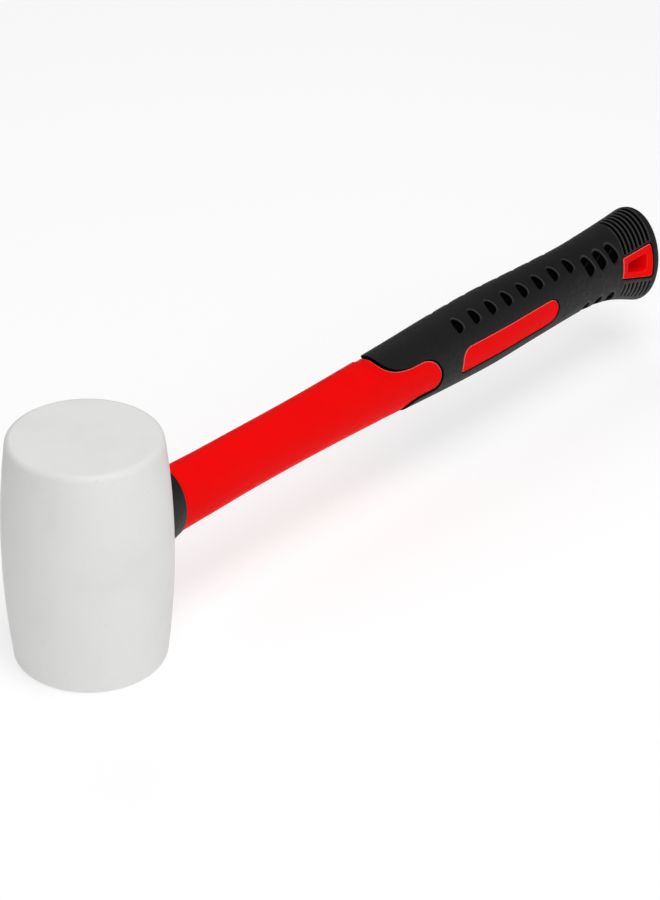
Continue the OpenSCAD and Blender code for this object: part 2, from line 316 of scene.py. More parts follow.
class Sheet:
    """A skin of the handle laid out flat in x and turn, triangulated around its outlines."""

    def __init__(self):
        self.flat, self.solid, self.edges, self.marks = [], [], [], []

    def add(self, x, turn, depth, closed=None, mark=0.0):
        """Adds points, joined in a row if closed is False and in a ring if it is True.
        The mark, from -1 to 1, is passed on to the material, which paints highlights and shade by
        it."""
        start = len(self.flat)
        x, turn, depth = np.broadcast_arrays(*[np.atleast_1d(v).astype(float)
                                               for v in (x, turn, depth)])
        self.flat += list(zip(x.tolist(), (turn * FLAT).tolist()))
        self.solid += list(surface(x, turn, depth))
        ids = list(range(start, len(self.flat)))
        self.marks += np.broadcast_to(mark, len(ids)).tolist()
        if closed is not None:
            self.edges += list(zip(ids[:-1], ids[1:]))
            if closed:
                self.edges.append((ids[-1], ids[0]))
        return ids

    def rings(self, x, turn, profile, around=False):
        """Rows along an outline, one for each (distance out, depth, mark) of a profile."""
        rows = []
        for out, depth, mark in profile:
            moved_x, moved_turn = spread(x, turn, out, around)
            rows.append(self.add(moved_x, moved_turn, depth, closed=not around, mark=mark))
        return rows

    def fill(self, x_range, step, degrees, depth, gap, within, holes=()):
        """Fills an outline with an even lattice that stays a gap away from every point so
        far, and out of the holes. Its steps are in millimetres along x, and in degrees."""
        n_x = int((x_range[1] - x_range[0]) / step)
        n_turn = int(round(360 / degrees))
        xs = np.linspace(*x_range, n_x + 1)
        turns = np.linspace(*SEAM, n_turn + 1)
        x, turn = [v.ravel() for v in np.meshgrid(xs, turns, indexing="ij")]
        pts = flat_outline(x, turn)
        ok = np.ones(len(pts), bool)
        for hole in holes:
            low, high = hole.min(0), hole.max(0)
            near = np.all((pts >= low) & (pts <= high), axis=1)
            ok[np.where(near)[0][inside(hole, pts[near])]] = False
        ok &= inside(within, pts)
        tree = KDTree(len(self.flat))
        for i, (a, b) in enumerate(self.flat):
            tree.insert((a, b, 0), i)
        tree.balance()
        for i in np.where(ok)[0]:
            if tree.find((*pts[i], 0))[2] < gap:
                ok[i] = False
        self.add(x[ok], turn[ok], depth)

    def triangles(self, drop, within=None):
        """Triangles as rows of three point numbers, without those inside a drop outline."""
        made = delaunay_2d_cdt([Vector(p) for p in self.flat], self.edges, [], 0, 1e-6)
        points, _, faces, sources = made[:4]
        crossed = [tuple(round(c, 2) for c in p) for p, o in zip(points, sources) if not o]
        if crossed:
            raise ValueError(f"outlines cross at {crossed[:12]}")
        tris = np.array([[sources[i][0] for i in face] for face in faces])
        flat = np.array(self.flat)
        centre = flat[tris].mean(1)
        ok = np.ones(len(tris), bool)
        for hole in drop:
            ok &= ~inside(hole, centre)
        if within is not None:
            ok &= inside(within, centre)
        tris = tris[ok]
        a, b, c = flat[tris[:, 0]], flat[tris[:, 1]], flat[tris[:, 2]]
        area = ((b[:, 0] - a[:, 0]) * (c[:, 1] - a[:, 1])
                - (b[:, 1] - a[:, 1]) * (c[:, 0] - a[:, 0]))
        ok = np.abs(area) > NO_AREA
        tris, area = tris[ok], area[ok]
        tris[area < 0] = tris[area < 0][:, ::-1]
        return tris


class Solid:
    """Collects the points and faces of one closed piece."""

    def __init__(self):
        self.points, self.faces, self.marks = [], [], []

    def put(self, points, mark=0.0):
        start = len(self.points)
        self.points += [tuple(p) for p in points]
        self.marks += np.broadcast_to(mark, len(points)).tolist()
        return list(range(start, len(self.points)))

    def sheet(self, sheet, tris, flip=False):
        ids = self.put(sheet.solid, sheet.marks)
        for a, b, c in tris.tolist():
            self.faces.append((ids[a], ids[c], ids[b]) if flip else (ids[a], ids[b], ids[c]))
        return ids

    def bridge(self, a, b, closed=True):
        """Quads between two rows of the same length."""
        n = len(a)
        for i in range(n if closed else n - 1):
            j = (i + 1) % n
            self.faces.append((a[i], a[j], b[j], b[i]))

    def carry_on(self, last, rings):
        """Bridges from a row through further rings of points. Returns the last one's row."""
        for points in rings:
            row = self.put(points)
            self.bridge(last, row)
            last = row
        return last

    def fan(self, ring, centre):
        """Closes a ring with triangles to a point."""
        hub = self.put([centre])[0]
        for i in range(len(ring)):
            self.faces.append((ring[i], ring[(i + 1) % len(ring)], hub))

    def piece(self, name, sharp=45.0):
        """The finished object, shaded smooth except at edges over sharp degrees."""
        mesh = bpy.data.meshes.new(name)
        pts = np.array(self.points)
        mesh.from_pydata([tuple(p) for p in (pts * MM).tolist()], [], self.faces)
        mesh.attributes.new(MARK, "FLOAT", "POINT").data.foreach_set("value", self.marks)
        obj = bpy.data.objects.new(name, mesh)
        bpy.context.scene.collection.objects.link(obj)
        clean(mesh)
        mesh.shade_smooth()
        mesh.set_sharp_from_angle(angle=math.radians(sharp))
        return obj


def clean(mesh):
    """Welds a mesh's doubled points, turns its faces outwards and reports any open edge."""
    bm = bmesh.new()
    bm.from_mesh(mesh)
    bmesh.ops.remove_doubles(bm, verts=bm.verts, dist=WELD * MM)
    bmesh.ops.dissolve_degenerate(bm, edges=bm.edges, dist=1e-7)
    loose = [v for v in bm.verts if not v.link_faces]
    bmesh.ops.delete(bm, geom=loose, context="VERTS")
    bmesh.ops.recalc_face_normals(bm, faces=bm.faces)
    bm.to_mesh(mesh)
    open_edges = sum(1 for e in bm.edges if len(e.link_faces) != 2)
    if open_edges:
        print("open edges in", mesh.name, open_edges)
    bm.free()


# ---------------------------------------------------------------- dimples

# The two kinds: lean is that of the long axis, power makes the ends blunt, rib is the height
# of the rib as a share of the depth, and taper narrows the end towards the crest.
SMALL = dict(length=7.0, width=4.4, depth=1.8, lean=math.radians(12), power=2.4, rib=0.0,
             taper=0.25)
LARGE = dict(length=9.8, width=5.1, depth=2.0, lean=math.radians(20), power=3.2, rib=0.5,
             taper=0.1)
DIMPLE_ROWS = (                               # kind, number, first place, pitch, angle up
    (SMALL, 8, 198.1, 10.33, 55.0), (LARGE, 3, 281.4, 7.85, 36.5), (LARGE, 3, 282.9, 8.5, -50.0))
# Rings over a dimple: (size against its outline, share of its depth, mark). A negative mark paints
# the lip lighter as a highlight, a positive one paints the inside dark as shade.
DIMPLE_RINGS = ((1.24, 0.0, 0.0), (1.14, 0.0, -1.0), (1.03, 0.02, -1.0), (0.97, 0.12, 0.3),
                (0.91, 0.45, 1.0), (0.82, 0.85, 1.0), (0.64, 1.0, 1.0), (0.4, 1.0, 1.0),
                (0.15, 1.0, 1.0))
FRONT_HALF, BACK_HALF = 0.8, 1.15             # widths of its halves, which make it a D
FLOOR_SHARE = 0.9                             # share of its depth at the middle of its floor
HIGHLIGHT_ACROSS, HIGHLIGHT_ALONG, HIGHLIGHT_POWER = 1.6, 0.9, 0.7           # how the painted highlight on its lip spreads
# the rib's mark is lowered, so it is painted less dark than the rest of the floor
RIB_PLACE, RIB_HALF, RIB_MARK = 0.8, 0.9, 0.9
RIB_RISE, RIB_START = 1.5, 0.3               # how it fades up the wall from the floor


def dimple_spots():
    """(kind, x, turn on the near side, far side or not) of each dimple."""
    for kind, count, first, pitch, degrees in DIMPLE_ROWS:
        for far_side in SIDES:
            for i in range(count):
                yield kind, first + i * pitch, math.radians(degrees), far_side


def blunt_oval(length, width, power, n=30):
    """An oval outline with blunt ends around its middle, as (across, along)."""
    a = np.linspace(0, 2 * math.pi, n, endpoint=False)
    c, s = np.cos(a), np.sin(a)
    return np.stack([np.sign(s) * np.abs(s) ** (2 / power) * width / 2,
                     np.sign(c) * np.abs(c) ** (2 / power) * length / 2], -1)


def add_dimple(sheet, kind, place, mid_turn, far_side):
    """Rings of points over one dimple, with a painted highlight on its lip towards the butt and
    the crest, painted shade inside it, and a rib across its floor where it is large. Returns its
    outline on the flat sheet."""
    edge = blunt_oval(kind["length"], kind["width"], kind["power"])
    edge[:, 0] *= 1 - kind["taper"] * edge[:, 1] / (kind["length"] / 2)
    edge[:, 0] *= np.where(edge[:, 0] < 0, FRONT_HALF, BACK_HALF)
    outline = None
    for scale, share, mark in DIMPLE_RINGS:
        across, along = (edge * scale).T
        x = place + across * math.cos(kind["lean"]) - along * math.sin(kind["lean"])
        up = across * math.sin(kind["lean"]) + along * math.cos(kind["lean"])
        turn = mid_turn + up / girth(x, mid_turn)
        lip_highlight = np.clip(HIGHLIGHT_ACROSS * across / kind["width"]
                       + HIGHLIGHT_ALONG * along / kind["length"], 0, 1)
        rib = kind["rib"] * np.exp(-((along - RIB_PLACE) / RIB_HALF) ** 2)
        rib *= smooth(share * RIB_RISE - RIB_START)
        depth = kind["depth"] * share * (1 - rib)
        mark = mark * (lip_highlight ** HIGHLIGHT_POWER if mark < 0 else 1 - RIB_MARK * rib)
        if far_side:
            x, turn, depth, mark = x[::-1], math.pi - turn[::-1], depth[::-1], mark[::-1]
        sheet.add(x, turn, depth, closed=True, mark=mark)
        if outline is None:
            outline = flat_outline(x, turn)
    sheet.add(place, (math.pi - mid_turn) if far_side else mid_turn,
              kind["depth"] * FLOOR_SHARE, mark=1.0)
    return outline


# ---------------------------------------------------------------- grooves around the butt

GROOVE_COUNT, GROOVE_DEPTH, GROOVE_STEP = 7, 1.4, 1.1
UPPER_HALF, LOWER_HALF = 0.8, 0.56            # half widths of the upper and lower grooves
# Their ends, counted from the one next to the head: x of the first, step to the next, and
# turn in degrees. The near side's upper grooves go on over the crest.
UPPER_LOW = dict(x=305.0, step=2.55, turn=25.1, more_turn=1.2)
UPPER_HIGH = dict(x=306.0, step=2.66)
OVER_CREST = 1.885                            # their turn there, in radians
FAR_START = 8.6                               # the far side's begin this far from y = 0
LOWER_TOP = dict(x=305.9, step=2.56, turn=-20.5)
# The lower grooves' ends at the belly draw together, and the middle ones reach lowest
LOWER_BOTTOM = dict(x=307.5, step=2.9, less_step=0.08, turn=-53, rise=0.55, lowest=2.8)
# Rings over a groove: (distance out, share of its depth, mark). The mark paints the ridges' edges
# lighter as a highlight and the groove dark as shade.
GROOVE_RINGS = ((0.13, 0.0, -1.0), (0.04, 0.04, -0.5), (-0.05, 0.3, 0.7), (-0.15, 0.75, 1.0),
                (-0.32, 0.98, 1.0))


def groove_runs():
    """(half width, x and turn of one end, x and turn of the other end) of each groove."""
    for i in range(GROOVE_COUNT):
        low_x = UPPER_LOW["x"] + UPPER_LOW["step"] * i
        low_turn = math.radians(UPPER_LOW["turn"] + UPPER_LOW["more_turn"] * i)
        high_x = UPPER_HIGH["x"] + UPPER_HIGH["step"] * i
        yield UPPER_HALF, low_x, low_turn, high_x, OVER_CREST
        start = math.acos(FAR_START / half_width(low_x))
        start_x = low_x + (high_x - low_x) * (start - low_turn) / (OVER_CREST - low_turn)
        yield UPPER_HALF, start_x, math.pi - start, low_x, math.pi - low_turn
        top_x, top_turn = LOWER_TOP["x"] + LOWER_TOP["step"] * i, math.radians(LOWER_TOP["turn"])
        low = LOWER_BOTTOM
        bottom_x = low["x"] + low["step"] * i - low["less_step"] * i ** 2
        bottom_turn = math.radians(low["turn"] + low["rise"] * (i - low["lowest"]) ** 2)
        yield LOWER_HALF, bottom_x, bottom_turn, top_x, top_turn
        yield LOWER_HALF, top_x, math.pi - top_turn, bottom_x, math.pi - bottom_turn


def add_groove(sheet, half, x0, t0, x1, t1):
    """Rings of points over one groove with round ends, on a straight run. Returns its
    outline on the flat sheet."""
    g = float(girth((x0 + x1) / 2, (t0 + t1) / 2))
    run = math.hypot(x1 - x0, (t1 - t0) * g)
    ux, us = (x1 - x0) / run, (t1 - t0) * g / run
    n = max(4, int(run / GROOVE_STEP))
    ends = np.linspace(0, math.pi, 9)[1:-1]
    straight = np.linspace(half, run - half, n)
    outline = None
    for out, share, mark in GROOVE_RINGS:
        r = half + out
        along = np.concatenate([straight, straight[-1] + r * np.sin(ends), straight[::-1],
                                straight[0] - r * np.sin(ends)])
        side = np.concatenate([np.full(n, r), r * np.cos(ends), np.full(n, -r),
                               -r * np.cos(ends)])
        x = x0 + along * ux + side * us
        turn = t0 + (along * us - side * ux) / g
        sheet.add(x, turn, GROOVE_DEPTH * share, closed=True, mark=mark)
        if outline is None:
            outline = flat_outline(x, turn)
    sheet.add(x0 + straight * ux, t0 + straight * us / g, GROOVE_DEPTH, closed=False, mark=1.0)
    return outline


# ---------------------------------------------------------------- the grip

# Rows along the edges of the grip's openings: (distance out, depth, mark). The mark paints the
# edge's roll down into the gap dark, as shade.
GRIP_LIP = ((0.0, 0.46, 1.0), (0.05, 0.27, 1.0), (0.16, 0.11, 0.8), (0.34, 0.02, 0.2),
            (0.6, 0.0, 0.0))
LIP_WIDTH = GRIP_LIP[-1][0]
PAST_END = 5                                  # how far the outlines run past the handle's ends


def close_butt(solid, rim, turns):
    """Rounds the grip's end over from its rim and closes it with a slightly crowned face."""
    angles = [math.radians(degrees) for degrees in range(15, 91, 15)]
    rim_x = HANDLE_END - BUTT_R
    last = solid.carry_on(rim, [surface(rim_x + BUTT_R * math.sin(a), turns,
                                        BUTT_R * (1 - math.cos(a))) for a in angles])
    face = np.array([solid.points[i] for i in last])
    centre = face.mean(0)
    crowned = []
    for share in (0.85, 0.65, 0.4, 0.18):
        ring = centre + (face - centre) * share
        ring[:, 0] += BUTT_CROWN * (1 - share ** 2)
        crowned.append(ring)
    solid.fan(solid.carry_on(last, crowned), centre + [BUTT_CROWN, 0, 0])


def grip_piece():
    """The sleeve: its skin with lips, dimples and grooves, its bore and its butt."""
    outer, inner, solid = Sheet(), Sheet(), Solid()
    rim_x = HANDLE_END - BUTT_R
    rim_gap, bore_gap = 0.8, 4                # how far the lattices stop before the end rows
    turns = np.linspace(*SEAM, 121)
    fx, ft = front_edge()
    lips = {"front": outer.rings(fx, ft, GRIP_LIP, around=True)[0]}
    walls = {"front": inner.add(fx, ft, GRIP_WALL, closed=False)}
    holes, shut = [], []
    for name, x, turn in openings():
        lips[name] = outer.rings(x, turn, GRIP_LIP)[0]
        walls[name] = inner.add(x, turn, GRIP_WALL, closed=True)
        holes.append(flat_outline(*spread(x, turn, LIP_WIDTH)))
        shut.append(flat_outline(x, turn))
    for spot in dimple_spots():
        holes.append(add_dimple(outer, *spot))
    for run in groove_runs():
        holes.append(add_groove(outer, *run))
    region = beyond(flat_outline(fx, ft), HANDLE_END + PAST_END)
    body = beyond(flat_outline(*spread(fx, ft, LIP_WIDTH, True)), HANDLE_END + PAST_END)
    rim = outer.add(rim_x, turns, 0, closed=False)
    outer.fill((GRIP_FRONT, rim_x - rim_gap), step=1.4, degrees=4.5, depth=0, gap=0.55,
               within=body, holes=holes)
    end = inner.add(JACKET_END, turns, GRIP_WALL, closed=False)
    inner.fill((GRIP_FRONT, JACKET_END - bore_gap), step=5.0, degrees=9, depth=GRIP_WALL, gap=2.0,
               within=body, holes=shut)
    a = solid.sheet(outer, outer.triangles(shut, region))
    b = solid.sheet(inner, inner.triangles(shut, region), flip=True)
    for name, row in lips.items():
        solid.bridge([a[i] for i in row], [b[i] for i in walls[name]], closed=name != "front")
    close_butt(solid, [a[i] for i in rim[:-1]], turns[:-1])
    solid.fan([b[i] for i in end[:-1]], [JACKET_END, 0, middle(JACKET_END)])
    return solid.piece("grip_sleeve_skin", sharp=50)


# ---------------------------------------------------------------- the jacket

JACKET_LOW = GRIP_WALL + 0.02                 # depth of the jacket under the grip
# Rows along the jacket's edges, from the gap beside the grip inwards and, around the hole,
# from the frame's face inwards: (distance out, depth, mark). The mark paints the gap's wall
# near black as shade, the rounded edge next to it paler as a highlight, and the hole's mouth a
# little paler.
PANEL_EDGE = ((-0.15, JACKET_LOW, -1.0), (-0.17, 0.9, -1.0), (-0.23, 0.55, -0.3),
              (-0.34, 0.28, 1.0), (-0.48, 0.15, 0.9), (-0.62, 0.12, 0.0), (-0.76, 0.18, 0.0),
              (-0.92, 0.25, 0.0))
PANEL_DEPTH = PANEL_EDGE[-1][1]
FRONT_LIP = ((-0.15, JACKET_LOW, -1.0), (-0.17, 1.3, -1.0), (-0.24, 0.95, -0.3),
             (-0.36, 0.7, 1.0), (-0.64, 0.5, 1.0), (-0.9, 0.47, 0.0))
HOLE_EDGE = ((0.75, PANEL_DEPTH, 0.0), (0.55, 0.31, 0.0), (0.32, 0.5, 0.4), (0.12, 0.9, 0.4),
             (0.0, 1.6, 0.0))
HOLE_DRAFT = 0.05                             # how much the hole narrows half way through
# The recess in front of the grip: it starts beside the tongue and is deepest at the crest
RECESS, BELLY_RECESS = 0.6, 0.6               # its depth, and the share of that at the belly
RECESS_FROM, RECESS_FULL = 0.35, 0.7          # shares of the height: where it starts, is deep
RECESS_LEN, SIDE_LEN, CREST_LEN = 2.2, 0.6, 1.4               # its length, and what is added
CREST_FROM = 0.5                              # share of the height where the crest's starts
# Rows over its step up to the neck: (distance from the step's middle, share of the depth)
RECESS_STEP = ((0.75, 1.0), (0.25, 0.85), (-0.3, 0.35), (-0.75, 0.0))


def add_recess(sheet, fx, ft):
    """Rows from the gap before the grip, through the recess and up to the bare neck. Returns
    the outline where the neck's plain skin starts."""
    height = np.sin(ft)
    share = smooth((np.abs(height) - RECESS_FROM) / (RECESS_FULL - RECESS_FROM))
    share *= np.where(height > 0, 1.0, BELLY_RECESS)
    length = RECESS_LEN + SIDE_LEN * share
    length += CREST_LEN * smooth((height - CREST_FROM) / (1 - CREST_FROM))
    for out, depth, mark in FRONT_LIP:
        x, turn = spread(fx, ft, out, True)
        sunk = RECESS * share if depth < JACKET_LOW else 0
        sheet.add(x, turn, depth + sunk, closed=False, mark=mark)
    for offset, part in RECESS_STEP:
        x, turn = spread(fx, ft, -(length - offset), True)
        sheet.add(x, turn, GRIP_PROUD + RECESS * share * part, closed=False)
    return flat_outline(*spread(fx, ft, -(length + RECESS_STEP[0][0]), True))


def add_hang_hole(solid, near, far):
    """The wall of the hang hole, between its rows on the near and on the far side."""
    p_near, p_far = [np.array([solid.points[i] for i in row]) for row in (near, far)]
    centre = (p_near.mean(0) + p_far.mean(0)) / 2
    rings = []
    for t in np.linspace(0, 1, 9)[1:-1]:
        wall = p_near * (1 - t) + p_far * t
        draft = 1 - HOLE_DRAFT * math.sin(math.pi * t)
        for axis in (0, 2):
            wall[:, axis] = centre[axis] + (wall[:, axis] - centre[axis]) * draft
        rings.append(wall)
    solid.bridge(solid.carry_on(near, rings), far)


def add_rod_bore(solid, mouth, turns):
    """The jacket's front end and its blind bore for the core rod."""
    circle = np.stack([0 * turns, -CORE_R * np.cos(turns), MID_Z + CORE_R * np.sin(turns)], -1)
    ends = [circle + [x, 0, 0] for x in (JACKET_START, core_high[0])]
    solid.fan(solid.carry_on(mouth, ends), [core_high[0], 0, MID_Z])


def jacket_piece():
    """The jacket: its bare neck, its panels in the grip's openings, the hole and the bore."""
    outer, solid = Sheet(), Solid()
    neck_gap, tail_gap = 2, 3                 # how far the lattices stop before the end rows
    end_turns = np.linspace(*SEAM, 73)
    fx, ft = front_edge()
    neck_edge = add_recess(outer, fx, ft)
    hole_rows, shut, islands, panels = {}, [], [], []
    for name, x, turn in openings():
        outer.rings(x, turn, PANEL_EDGE)
        islands.append(flat_outline(*spread(x, turn, PANEL_EDGE[0][0])))
        if name.startswith("window"):
            panels.append(flat_outline(*spread(x, turn, PANEL_EDGE[-1][0])))
    for far_side in SIDES:
        x, turn = on_skin(wedge_side(**HOLE, step=0.4), far_side)
        row = outer.rings(x, turn, HOLE_EDGE)[-1]
        hole_rows[far_side] = row[::-1] if far_side else row
        shut.append(flat_outline(x, turn))
    neck = beyond(neck_edge, JACKET_START - PAST_END)
    under = beyond(flat_outline(fx, ft), HANDLE_END)
    start = outer.add(JACKET_START, end_turns, GRIP_PROUD, closed=False)
    end = outer.add(JACKET_END, end_turns, JACKET_LOW, closed=False)
    outer.fill((JACKET_START + neck_gap, GRIP_FRONT + TONGUE_LEN), step=2.4, degrees=5,
               depth=GRIP_PROUD, gap=0.8, within=neck)
    for panel in panels:
        outer.fill(WINDOW_X, step=1.6, degrees=4, depth=PANEL_DEPTH, gap=0.7, within=panel)
    outer.fill((GRIP_FRONT, JACKET_END - tail_gap), step=4.0, degrees=10, depth=JACKET_LOW, gap=1.5,
               within=under, holes=islands)
    a = solid.sheet(outer, outer.triangles(shut))
    add_hang_hole(solid, *[[a[i] for i in hole_rows[far_side]] for far_side in SIDES])
    add_rod_bore(solid, [a[i] for i in start[:-1]], end_turns[:-1])
    solid.fan([a[i] for i in end[:-1]], [JACKET_END, 0, middle(JACKET_END)])
    return solid.piece("handle_jacket_skin", sharp=50)


# ---------------------------------------------------------------- the collar and the head

def barrel_r(z):
    """Radius of the head at a height over its middle, by the arc of its side."""
    return np.sqrt(SIDE_R ** 2 - np.asarray(z, float) ** 2) - (SIDE_R - HEAD_R)


def barrel_x(y, z):
    """How far out the head's side is at y, and at a height over its middle."""
    return np.sqrt(np.maximum(barrel_r(z) ** 2 - y ** 2, 1))


def collar_piece():
    """A flared cup: outside, rounded lip, bore over the jacket, web in front of its end."""
    solid = Solid()
    n = 120
    turns = np.linspace(0, 2 * math.pi, n, endpoint=False)

    def depth_at(x):
        """Depth of the collar's outside, which flares towards the head."""
        return GRIP_PROUD - COLLAR_PROUD - COLLAR_FLARE * (COLLAR_END - x)

    root = np.full(n, HEAD_R)                 # where the outside meets the head's side,
    for _ in range(8):                        # found by going back and forth between them
        p = surface(root, turns, depth_at(root))
        root = barrel_x(p[:, 1], p[:, 2] - MID_Z)
    rows = []
    for t in np.linspace(0, 1, 12):
        x = root + (COLLAR_END - COLLAR_LIP_R - root) * t
        foot = FILLET * np.exp(-((x - root) / FILLET_RUN) ** 2)
        rows.append(surface(x, turns, depth_at(x) - foot))
    for degrees in (22, 45, 68, 90):
        a = math.radians(degrees)
        x = np.full(n, COLLAR_END - COLLAR_LIP_R * (1 - math.sin(a)))
        rows.append(surface(x, turns, depth_at(x) + COLLAR_LIP_R * (1 - math.cos(a))))
    rows.append(surface(COLLAR_END - COLLAR_EDGE, turns, GRIP_PROUD))
    rows.append(surface(JACKET_START, turns, GRIP_PROUD))
    y, z = -CORE_R * np.cos(turns), CORE_R * np.sin(turns)
    rows.append(np.stack([np.full(n, JACKET_START), y, MID_Z + z], -1))
    web = np.stack([barrel_x(y, z), y, MID_Z + z], -1)
    rows.append(web)
    for t in (0.35, 0.7):                     # back to the root, over the head's side
        p = web * (1 - t) + rows[0] * t
        p[:, 0] = barrel_x(p[:, 1], p[:, 2] - MID_Z)
        rows.append(p)
    ids = [solid.put(r) for r in rows]
    for a, b in zip(ids, ids[1:] + ids[:1]):
        solid.bridge(a, b)
    return solid.piece("neck_collar_skin", sharp=55)


def head_profile():
    """The head's outline from its upper to its lower face, as (radius, height over middle)."""
    rim_z = HEAD_LEN / 2 - RIM_R
    arc_x = HEAD_R - SIDE_R                   # centre of the side's arc
    rim_x = arc_x + math.sqrt((SIDE_R - RIM_R) ** 2 - rim_z ** 2)
    joint = math.atan2(rim_z, rim_x - arc_x)  # the angle at which the rim's arc meets the side's
    hub_r = 1.2                               # the faces' innermost ring
    half = [(r, HEAD_LEN / 2) for r in np.linspace(hub_r, rim_x, 20)]
    half += [(rim_x + RIM_R * math.cos(a), rim_z + RIM_R * math.sin(a))
             for a in np.linspace(math.pi / 2, joint, 14)[1:]]
    half += [(float(barrel_r(z)), z) for z in np.linspace(SIDE_R * math.sin(joint), 0, 30)[1:]]
    return half + [(r, -z) for r, z in half[-2::-1]]


def socket_cutter():
    """A cylinder along x from the socket's bottom to well outside the head."""
    solid = Solid()
    around = np.linspace(0, 2 * math.pi, 96, endpoint=False)
    circle = np.stack([0 * around, SOCKET_R * np.cos(around),
                       MID_Z + SOCKET_R * np.sin(around)], -1)
    bottom, past = bond_low[0], HEAD_R + 10
    deep = solid.put(circle + [bottom, 0, 0])
    wide = solid.put(circle + [past, 0, 0])
    solid.bridge(deep, wide)
    solid.fan(deep, [bottom, 0, MID_Z])
    solid.fan(wide, [past, 0, MID_Z])
    return solid.piece("socket_cutter")


def head_piece():
    """The barrel as a turned mesh, with the handle's socket cut into its side."""
    turns = np.linspace(0, 2 * math.pi, 240, endpoint=False)
    sharp = 60
    solid = Solid()
    ids = [solid.put(np.stack([r * np.cos(turns), r * np.sin(turns),
                               np.full(len(turns), MID_Z + z)], -1))
           for r, z in head_profile()]
    for a, b in zip(ids, ids[1:]):
        solid.bridge(a, b)
    solid.fan(ids[0], [0, 0, head_high[2]])
    solid.fan(ids[-1], [0, 0, head_low[2]])
    head = solid.piece("mallet_head_body", sharp)
    cutter = socket_cutter()
    cut = head.modifiers.new("socket", "BOOLEAN")
    cut.operation, cut.solver, cut.object = "DIFFERENCE", "EXACT", cutter
    bpy.context.view_layer.update()
    cut_head = head.evaluated_get(bpy.context.evaluated_depsgraph_get())
    mesh = bpy.data.meshes.new_from_object(cut_head)
    head.modifiers.clear()
    head.data = mesh
    bpy.data.objects.remove(cutter)
    mesh.set_sharp_from_angle(angle=math.radians(sharp))
    return head


# ---------------------------------------------------------------- materials

MIX_FACTOR, MIX_A, MIX_B, MIX_RESULT = 0, 6, 7, 2             # a Mix node's colour sockets


class Look:
    """A node material around one Principled shader, built up by small steps."""

    def __init__(self, name, color, roughness=0.5, specular=0.5):
        self.mat = bpy.data.materials.new(name)
        self.mat.use_nodes = True
        self.tree = self.mat.node_tree
        self.tree.nodes.clear()
        self.shader = self.node("ShaderNodeBsdfPrincipled")
        out = self.node("ShaderNodeOutputMaterial")
        self.join(self.shader.outputs["BSDF"], out.inputs["Surface"])
        self.set(self.shader, {"Base Color": (*color, 1), "Roughness": roughness,
                               "Specular IOR Level": specular})
        self.place = self.node("ShaderNodeTexCoord").outputs["Object"]
        self.normal = None

    def node(self, kind, **values):
        n = self.tree.nodes.new(kind)
        for key, value in values.items():
            setattr(n, key, value)
        return n

    def set(self, node, values):
        for key, value in values.items():
            node.inputs[key].default_value = value

    def join(self, a, b):
        self.tree.links.new(a, b)

    def stretched(self, factors):
        """Places scaled along the axes, which draws a texture out along one of them."""
        m = self.node("ShaderNodeMapping")
        self.join(self.place, m.inputs["Vector"])
        self.set(m, {"Scale": factors})
        return m.outputs["Vector"]

    def noise(self, size_mm, detail, stretch=None):
        """Noise with features about size_mm across, from 0 to 1."""
        n = self.node("ShaderNodeTexNoise")
        self.join(self.stretched(stretch) if stretch else self.place, n.inputs["Vector"])
        self.set(n, {"Scale": 1 / (size_mm * MM), "Detail": detail, "Roughness": 0.5})
        return n.outputs["Fac"]

    def cells(self, size_mm):
        """Distance to the middle of the nearest cell, with cells about size_mm across."""
        n = self.node("ShaderNodeTexVoronoi", feature="F1")
        self.join(self.place, n.inputs["Vector"])
        self.set(n, {"Scale": 1 / (size_mm * MM)})
        return n.outputs["Distance"]

    def mark(self):
        """The points' mark, such as a pocket's floor, by which shade and highlights are painted."""
        return self.node("ShaderNodeAttribute", attribute_name=MARK).outputs["Fac"]

    def remap(self, value, band, to=(0.0, 1.0)):
        """A value's band mapped to another, smoothly. Either may run downwards."""
        m = self.node("ShaderNodeMapRange", interpolation_type="SMOOTHSTEP")
        self.join(value, m.inputs["Value"])
        self.set(m, {"From Min": band[0], "From Max": band[1], "To Min": to[0], "To Max": to[1]})
        return m.outputs["Result"]

    def mixed(self, value, color, other):
        """A colour, or the output that gives it, mixed so far towards another by a value."""
        mix = self.node("ShaderNodeMix", data_type="RGBA")
        self.join(value, mix.inputs[MIX_FACTOR])
        if isinstance(color, bpy.types.NodeSocket):
            self.join(color, mix.inputs[MIX_A])
        else:
            mix.inputs[MIX_A].default_value = color
        mix.inputs[MIX_B].default_value = (*other, 1)
        return mix.outputs[MIX_RESULT]

    def tint(self, value, band, most, other):
        """Mixes the colour towards another, by most where the value is past its band."""
        base = self.shader.inputs["Base Color"]
        color = base.links[0].from_socket if base.is_linked else base.default_value
        self.join(self.mixed(self.remap(value, band, (0, most)), color, other), base)

    def rough(self, value, band, to):
        self.join(self.remap(value, band, to), self.shader.inputs["Roughness"])

    def bump(self, value, height_mm):
        """Adds a bump, on top of any there is already."""
        n = self.node("ShaderNodeBump")
        self.join(value, n.inputs["Height"])
        self.set(n, {"Strength": 1, "Distance": height_mm * MM})
        if self.normal is not None:
            self.join(self.normal, n.inputs["Normal"])
        self.normal = n.outputs["Normal"]
        self.join(self.normal, self.shader.inputs["Normal"])


def white_rubber():
    """Clouded off-white with fine grey specks, slightly uneven."""
    look = Look("white_rubber", (0.80, 0.80, 0.79), specular=0.35)
    look.tint(look.noise(26, 3), (0.45, 0.75), 0.5, (0.74, 0.74, 0.725))
    look.tint(look.noise(0.9, 2), (0.66, 0.74), 0.35, (0.60, 0.60, 0.585))
    look.rough(look.noise(7, 3), (0.3, 0.7), (0.42, 0.56))
    look.bump(look.noise(5, 2), 0.06)
    look.bump(look.noise(0.5, 3), 0.012)
    return look.mat


